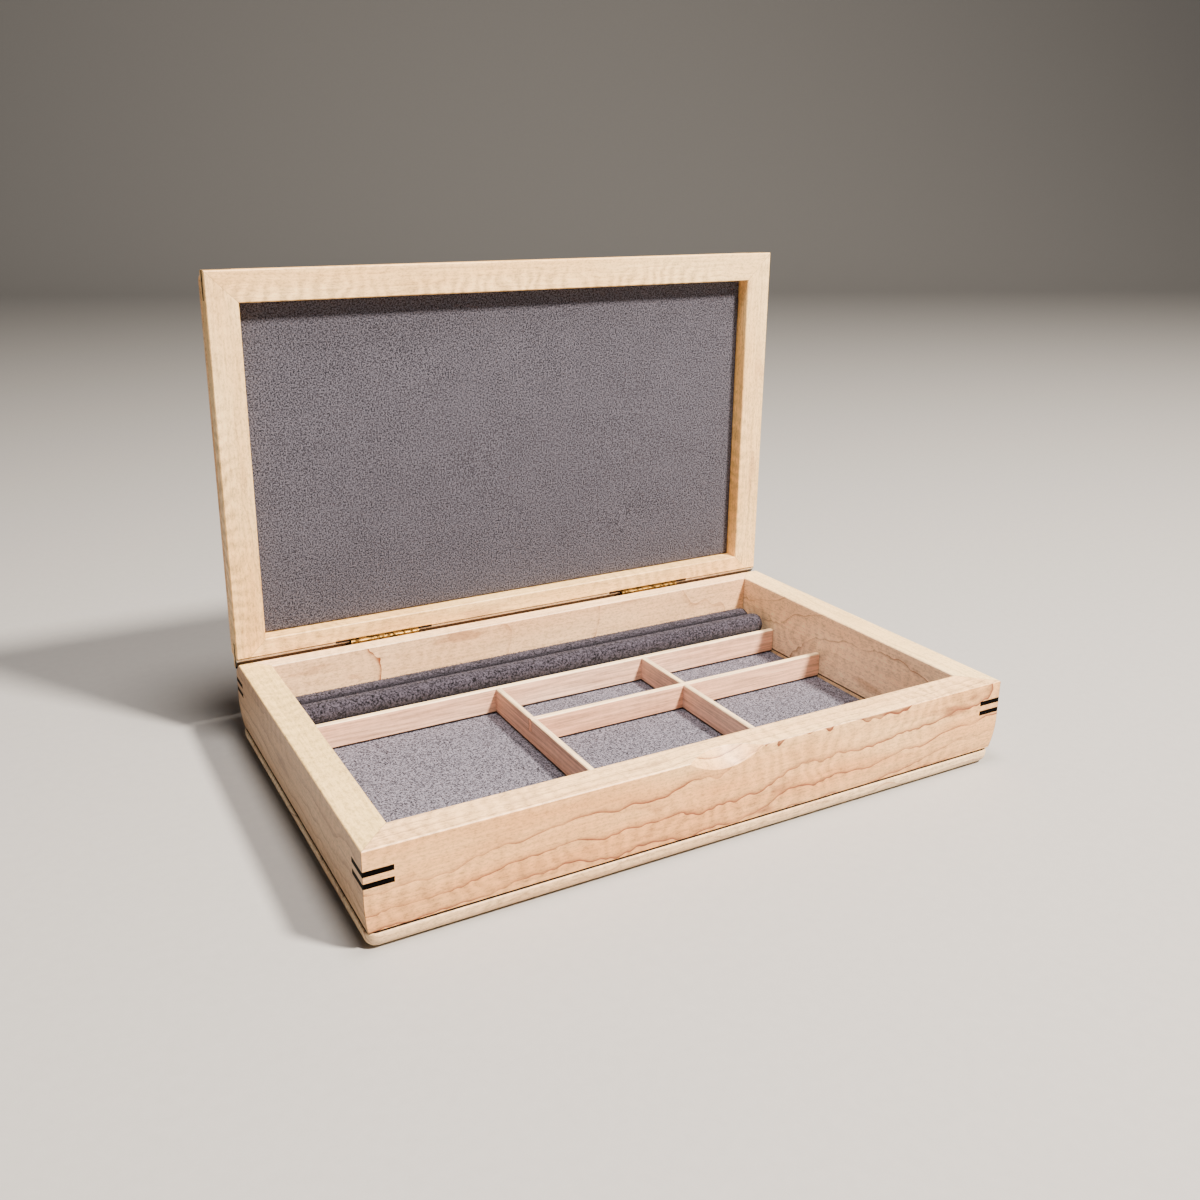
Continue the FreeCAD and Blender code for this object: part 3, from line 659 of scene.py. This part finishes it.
def rows(length, edge):
    """Places of the grid's rows; they crowd at the border, where the cloth turns down."""
    turn = [edge * (1 - math.cos(math.radians(angle))) for angle in (0, 22, 45, 68, 90)]
    inner = max(2, round((length - 2 * edge) / CELL))
    middle = [edge + (length - 2 * edge) * i / inner for i in range(1, inner)]
    return turn + middle + [length - place for place in reversed(turn)]


def drop(at, length, edge):
    """How far the cloth has turned down at a distance along its width."""
    near = min(at, length - at, edge)
    return edge - math.sqrt(max(0.0, edge**2 - (edge - near) ** 2))


# %% The height of the face
SUNK = 0.14 * MM  # how far the face lies below the space kept for it
SWELL, RIPPLE = 0.10, 0.05  # mm


def cloth_height(a, b, width, height, edge):
    """How far the face stands off the board at a point of the grid."""
    fall = min(edge, math.hypot(drop(a, width, edge), drop(b, height, edge)))
    swell = noise.noise(Vector((a, b, 0.3)) * 28) * SWELL
    ripple = noise.noise(Vector((a, b, 7)) * 95) * RIPPLE
    rise = edge - fall * 0.92 - SUNK + (swell + ripple) * MM * (1 - fall / edge)
    return max(rise, 0.02 * MM)


# %% Closing the sheet
def close_below(mesh, grid, thin, board_at):
    """Joins the grid's border to the board and fills the underside."""
    ring = grid[0] + [row[-1] for row in grid[1:-1]]
    ring += grid[-1][::-1] + [row[0] for row in grid[-2:0:-1]]
    flat = {}
    for corner in ring:
        spot = corner.co.copy()
        spot[thin] = board_at
        flat[corner] = mesh.verts.new(spot)
    for lower, upper in zip(grid, grid[1:]):
        for i in range(len(lower) - 1):
            mesh.faces.new((lower[i], lower[i + 1], upper[i + 1], upper[i]))
    for one, two in zip(ring, ring[1:] + ring[:1]):
        mesh.faces.new((one, flat[one], flat[two], two))
    mesh.faces.new([flat[corner] for corner in reversed(ring)])
    bmesh.ops.recalc_face_normals(mesh, faces=mesh.faces)


def as_piece(name, mesh):
    """A new object in the scene from an edited mesh."""
    data = bpy.data.meshes.new(name)
    mesh.to_mesh(data)
    mesh.free()
    piece = bpy.data.objects.new(name, data)
    bpy.context.scene.collection.objects.link(piece)
    return piece


# %% One suede lining
def lining(name, node, thin, facing, suede):
    """A sheet over the node's box. thin is the axis it is thin along, facing its visible side."""
    low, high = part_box(node)
    size = high - low
    edge = size[thin]
    wide, tall = [i for i in range(3) if i != thin]
    board_at = low[thin] if facing > 0 else high[thin]
    mesh = bmesh.new()
    grid = []
    for b in rows(size[tall], edge):
        row = []
        for a in rows(size[wide], edge):
            spot = [0.0, 0.0, 0.0]
            spot[wide], spot[tall] = low[wide] + a, low[tall] + b
            spot[thin] = board_at + facing * cloth_height(a, b, size[wide], size[tall], edge)
            row.append(mesh.verts.new(spot))
        grid.append(row)
    close_below(mesh, grid, thin, board_at)
    for face in mesh.faces:
        face.smooth = len(face.verts) == 4
    piece = as_piece(name, mesh)
    piece.data.materials.append(suede)
    return piece, (size[wide], size[tall])


# %% Both linings
for name, node, board, body, thin, facing, suede in (
    ("floor_suede", "floor_cloth", "floor_board", "base", 2, 1, SUEDE),
    ("lid_suede", "lid_lining_cloth", "lid_lining_board", "lid", 1, -1, SHADED_LID_SUEDE),
):
    piece, cut = lining(name, node, thin, facing, suede)
    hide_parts(node)
    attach(piece, body)
    print(name, "cut to", [round(v * 1000, 1) for v in cut], "mm")


# %% [markdown]
# ## The ring roll
# Rings are pushed into the crease between two soft rolls. A real roll is a bar of foam in a velvet
# sleeve, so its surface is pulled tight, swells a little between the glued ends, and is never
# quite straight. A short cloth simulation does the same: a sleeve slightly too small is pumped up
# from inside until the cloth holds the pressure.


# %% The sleeve before it is filled
AROUND, ALONG = 28, 100  # cells round the sleeve and along its plain part
SHRINK = 0.3 * MM  # how much smaller than its box the sleeve is before it is filled
TIP_DISC = 0.45  # at the tip the cloth is drawn together over a flat disc of foam


def stations(length, end):
    """Places along the sleeve, each with the share of the full roundness there."""
    tip = []
    for turned in (0, 18, 36, 54, 72, 90):
        angle = math.radians(turned)
        tip.append((end * (1 - math.cos(angle)), TIP_DISC + (1 - TIP_DISC) * math.sin(angle)))
    plain = [(end + (length - 2 * end) * i / ALONG, 1.0) for i in range(1, ALONG)]
    return tip + plain + [(length - x, share) for x, share in reversed(tip)]


def sleeve(name, low, high, end):
    """A closed tube along X that fills the box from low to high, with rounded ends."""
    middle = (low + high) / 2
    half_y, half_z = (high.y - low.y) / 2 - SHRINK, (high.z - low.z) / 2 - SHRINK
    mesh = bmesh.new()
    rings = []
    for x, share in stations(high.x - low.x - 2 * SHRINK, end):
        ring = []
        for k in range(AROUND):
            turn = 2 * math.pi * k / AROUND
            across, up = math.cos(turn) * half_y * share, math.sin(turn) * half_z * share
            ring.append(mesh.verts.new((low.x + SHRINK + x, middle.y + across, middle.z + up)))
        rings.append(ring)
    for one, two in zip(rings, rings[1:]):
        for k in range(AROUND):
            mesh.faces.new((one[k], one[(k + 1) % AROUND], two[(k + 1) % AROUND], two[k]))
    mesh.faces.new(rings[0][::-1])
    mesh.faces.new(rings[-1])
    bmesh.ops.recalc_face_normals(mesh, faces=mesh.faces)
    return as_piece(name, mesh)


# %% Keeping what modifiers make
def baked(piece):
    """Replaces the piece's mesh with what its modifiers make of it, and removes them."""
    shown = piece.evaluated_get(bpy.context.evaluated_depsgraph_get())
    data = bpy.data.meshes.new_from_object(shown)
    piece.modifiers.clear()
    old, piece.data = piece.data, data
    bpy.data.meshes.remove(old)


# %% Letting the pressure act
FRAMES = 20
GLUED_SHARE = 0.2  # the lowest fifth is glued to what it lies on
MOST = 0.55 * MM  # no point moves further than this, so the rolls stay apart


def settle(piece, held_below, pressure=4.0):
    """Runs the cloth for a few frames and moves each point towards where it came to rest."""
    start = [vertex.co.copy() for vertex in piece.data.vertices]
    glued = piece.vertex_groups.new(name="glued")
    glued.add([i for i, place in enumerate(start) if place.z < held_below], 1.0, "REPLACE")
    settings = piece.modifiers.new("velvet", "CLOTH").settings
    settings.quality, settings.mass = 6, 0.2
    settings.tension_stiffness = settings.compression_stiffness = 12
    settings.shear_stiffness, settings.bending_stiffness = 6, 0.4
    settings.use_pressure, settings.uniform_pressure_force = True, pressure
    settings.vertex_group_mass = "glued"
    settings.effector_weights.gravity = 0
    scene = bpy.context.scene
    for number in range(1, FRAMES + 1):
        scene.frame_set(number)
    shown = piece.evaluated_get(bpy.context.evaluated_depsgraph_get())
    settled = [vertex.co.copy() for vertex in shown.data.vertices]
    piece.modifiers.clear()
    piece.vertex_groups.clear()
    scene.frame_set(1)
    for vertex, before, after in zip(piece.data.vertices, start, settled):
        step = after - before
        vertex.co = before + step * min(1.0, MOST / max(step.length, 1e-9))


# %% Filling a sleeve
def fill(piece, cell, held_below):
    """Gives the sleeve even cells, pumps it up and smooths it."""
    remesh = piece.modifiers.new("even_cells", "REMESH")
    remesh.mode, remesh.voxel_size, remesh.use_smooth_shade = "VOXEL", cell, True
    baked(piece)
    settle(piece, held_below)
    finer = piece.modifiers.new("finer", "SUBSURF")
    finer.levels = finer.render_levels = 1
    baked(piece)
    for face in piece.data.polygons:
        face.use_smooth = True


# %% The rolls and the wrapped bar beneath them
ROLL_END, BAR_END = 4.5 * MM, 2.5 * MM  # how far each end is rounded
soft = []
for name, node, end, cell, tightness in (
    ("ring_roll_front_velvet", "ring_roll_front", ROLL_END, 2.0 * MM, 0.9),
    ("ring_roll_back_velvet", "ring_roll_back", ROLL_END, 2.0 * MM, 0.9),
    ("ring_roll_base_velvet", "ring_roll_core", BAR_END, 2.2 * MM, 0.8),
):
    low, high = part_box(node)
    piece = sleeve(name, low, high, end)
    fill(piece, cell, low.z + GLUED_SHARE * (high.z - low.z))
    piece.data.materials.clear()
    piece.data.materials.append(VELVET)
    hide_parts(node)
    soft.append((piece, tightness))
    print(name, len(piece.data.polygons), "faces")

# %% The rolls ride together
for piece, tightness in soft:
    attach(piece, "ring_roll")
print("padded pieces:", [piece.name for piece, _ in soft])

# %% [markdown]
# ## The velvet's pile
# Velvet is woven with loops that are cut open, so it stands up as thousands of short tufts. One
# tuft is repeated over the rolls by Geometry Nodes: points are scattered on the cloth, and a
# small cone is set on each one, leaning a little its own way. Only the side that is seen and
# touched gets tufts, since those below and in the crease are pressed flat. Real tufts are too fine
# to show, so each one here stands for some fifteen of them. It has only four faces, since there are
# so many.


# %% The pile's sockets
PILE_INPUTS = {
    "Geometry": ("Geometry", None),
    "Tufts per square metre": ("Float", 1.5e6),
    "Length": ("Float", 0.55 * MM),
    "Radius": ("Float", 0.2 * MM),
    "Lean": ("Vector", (0.5, 0.5, 0.0)),
    "Crease": ("Float", 0.0),
    "Seed": ("Int", 7),
    "Material": ("Material", None),
}
PRESSED = 0.9 * MM  # on both sides of the crease
print("the pile's inputs:", list(PILE_INPUTS))


def pile_sockets(tree):
    """Gives the tree its named inputs and its one output."""
    for name, (kind, usual) in PILE_INPUTS.items():
        socket = tree.interface.new_socket(name=name, in_out="INPUT", socket_type=f"NodeSocket{kind}")
        if usual is not None:
            socket.default_value = usual
    tree.interface.new_socket(name="Geometry", in_out="OUTPUT", socket_type="NodeSocketGeometry")


# %% Where the tufts stand
def scattered(g, given):
    """Points on the cloth wherever it faces up and isn't pressed into the crease."""
    upward = g.add("SeparateXYZ", g.add("InputNormal"), out="Z")
    across = g.add("SeparateXYZ", g.add("InputPosition"), out="Y")
    pressed = g.add("Math COMPARE", across, given["Crease"], PRESSED)
    seen = g.add("Math GREATER_THAN", g.add("Math SUBTRACT", upward, pressed), 0.3)
    inputs = {"Mesh": given["Geometry"], "Selection": seen, "Seed": given["Seed"]}
    inputs["Density"] = given["Tufts per square metre"]
    return g.add("DistributePointsOnFaces", inputs=inputs).node.outputs


def leaning(g, given, upright):
    """The upright turn of each point, tipped a little its own way."""
    other_way = g.add("VectorMath MULTIPLY", given["Lean"], (-1.0, -1.0, -1.0))
    span = {"Min": other_way, "Max": given["Lean"], "Seed": given["Seed"]}
    tip = g.add("RandomValue", inputs=span, data_type="FLOAT_VECTOR")
    turn = g.add("EulerToRotation", tip)
    return g.add("RotateRotation", upright, turn, rotation_space="LOCAL")


# %% The pile's node tree
def pile_tree():
    """The whole tree: points on the cloth, a leaning cone on each, made real and painted."""
    tree = bpy.data.node_groups.new("Velvet pile", "GeometryNodeTree")
    pile_sockets(tree)
    g = Graph(tree)
    given = g.add("NodeGroupInput").node.outputs
    points = scattered(g, given)
    shape = {"Vertices": 3, "Radius Top": 0.0}
    shape["Radius Bottom"], shape["Depth"] = given["Radius"], given["Length"]
    tuft = g.add("MeshCone", inputs=shape, out="Mesh")
    sizes = {2: 0.6, 3: 1.15, "Seed": given["Seed"]}
    grown = g.add("RandomValue", inputs=sizes, out=1, data_type="FLOAT")
    planting = {"Points": points["Points"], "Instance": tuft, "Scale": grown}
    planting["Rotation"] = leaning(g, given, points["Rotation"])
    real = g.add("RealizeInstances", g.add("InstanceOnPoints", inputs=planting))
    finish = {"Geometry": real, "Material": given["Material"]}
    g.add("NodeGroupOutput", g.add("SetMaterial", inputs=finish))
    return tree


# %% Planting the pile
def planted_on(name, bases, tree, **values):
    """The tree's tufts for all the bases, as one plain mesh."""
    joined = bmesh.new()
    for base in bases:
        joined.from_mesh(base.data)
    piece = as_piece(name, joined)
    modifier = piece.modifiers.new(name, "NODES")
    modifier.node_group = tree
    for item in tree.interface.items_tree:
        if item.in_out == "INPUT" and item.name in values:
            modifier[item.identifier] = values[item.name]
    baked(piece)
    return piece


rolls = [piece for piece, _ in soft[:2]]
nap = planted_on(
    "ring_roll_pile", rolls, pile_tree(), Crease=roll_middle * MM, Seed=11, Material=VELVET
)
print("pile:", len(nap.data.polygons), "faces")
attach(nap, "ring_roll")

# %% [markdown]
# ## The floor
# The box stands on a roll of pale paper that runs on and curves up behind it, as in a studio, so
# that no edge or corner draws the eye. The curve's rows are worked out from a quarter circle.

# %% The way that the camera looks
HEADING, PITCH, ROLL = (math.radians(angle) for angle in (27.13, 16.86, -0.24))
HALF, FLAT, BEND, TOP_EDGE_UP = 6.0, 3.0, 1.5, 4.0  # the paper's sizes in metres
STEPS = 16


# %% Paper that hangs from a roll
def sweep(facing):
    profile = [(-HALF, 0.0), (FLAT, 0.0)]
    for step in range(1, STEPS + 1):
        angle = math.pi / 2 * step / STEPS
        profile.append((FLAT + BEND * math.sin(angle), BEND * (1 - math.cos(angle))))
    profile.append((FLAT + BEND, TOP_EDGE_UP))
    forward = Vector((math.sin(facing), math.cos(facing), 0))
    side = Vector((forward.y, -forward.x, 0))
    points = [
        forward * run + side * across + Vector((0, 0, up))
        for run, up in profile
        for across in (-HALF, HALF)
    ]
    faces = [(2 * i, 2 * i + 1, 2 * i + 3, 2 * i + 2) for i in range(len(profile) - 1)]
    data = bpy.data.meshes.new("studio_paper")
    data.from_pydata(points, [], faces)
    for face in data.polygons:
        face.use_smooth = True
    made = bpy.data.objects.new("studio_paper", data)
    bpy.context.scene.collection.objects.link(made)
    return made


# %% Laying the paper
material, graph, shader = surface("studio_paper", "#a5a4a3")
grain = waves(graph, place_mm(graph), (0.2, 0.2, 0.2), detail=3.0)
colour = graph.add("Mix", inputs={0: grain, 6: light("#a1a09f"), 7: light("#a8a7a6")}, **COLOURS)
graph.feed(shader, {"Base Color": colour, "Roughness": 0.9, "Specular IOR Level": 0.2})
paper = sweep(HEADING)
paper.location.z = -0.1 * MM
paper.data.materials.append(material)
print("paper:", len(paper.data.polygons), "strips")


# %% [markdown]
# ## Light
# One soft lamp high in front and to the right does most of the work: it keeps the rims bright,
# leaves the left side in shade and lets the lid's top rail throw a narrow shadow on the lining. A
# weak lamp above lights the floor of the box, and the room's own grey light fills the rest.


# %% Lamps
def lamp(name, place, aim, size, power, code):
    data = bpy.data.lights.new(name, "AREA")
    data.shape, data.size, data.energy, data.color = "DISK", size, power, light(code)[:3]
    made = bpy.data.objects.new(name, data)
    made.location = place
    made.rotation_mode = "QUATERNION"
    made.rotation_quaternion = (Vector(aim) - Vector(place)).to_track_quat("-Z", "Y")
    bpy.context.scene.collection.objects.link(made)
    return made


lamp("key_lamp", (0.80, -1.20, 1.90), (0, 0, 0.05), 0.32, 222, "#fff2e2")
lamp("top_lamp", (-0.05, -0.12, 1.05), (0, 0, 0.0), 0.30, 15, "#fff4ea")

# %% The room
world = bpy.data.worlds.new("soft_room")
world.use_nodes = True
background = world.node_tree.nodes["Background"]
background.inputs["Color"].default_value = light("#e9ebee")
background.inputs["Strength"].default_value = 0.08
bpy.context.scene.world = world
print("lamps:", [item.name for item in bpy.data.lights])

# %% [markdown]
# ## Camera
# The camera looks down on the front left corner from a little above the open lid's middle, close
# enough that the near corner is clearly larger than the far one. Its lens is shifted rather than
# turned, so the box sits in the middle of the frame while its upright edges stay nearly upright.

# %% Placing the camera
EYE = Vector((-0.2798, -0.4686, 0.2826))
level = math.cos(PITCH)
ahead = Vector((math.sin(HEADING) * level, math.cos(HEADING) * level, -math.sin(PITCH)))
lens = bpy.data.cameras.new("studio_camera")
lens.lens, lens.sensor_width = 33.89, 36.0
lens.shift_x, lens.shift_y = 0.0496, -0.0503
lens.clip_start, lens.clip_end = 0.01, 50.0
camera = bpy.data.objects.new("studio_camera", lens)
turn = ahead.to_track_quat("-Z", "Y").to_matrix() @ Matrix.Rotation(ROLL, 3, "Z")
camera.matrix_world = Matrix.Translation(EYE) @ turn.to_4x4()
bpy.context.scene.collection.objects.link(camera)
bpy.context.scene.camera = camera
print("camera is", round(EYE.length, 2), "m from the box")
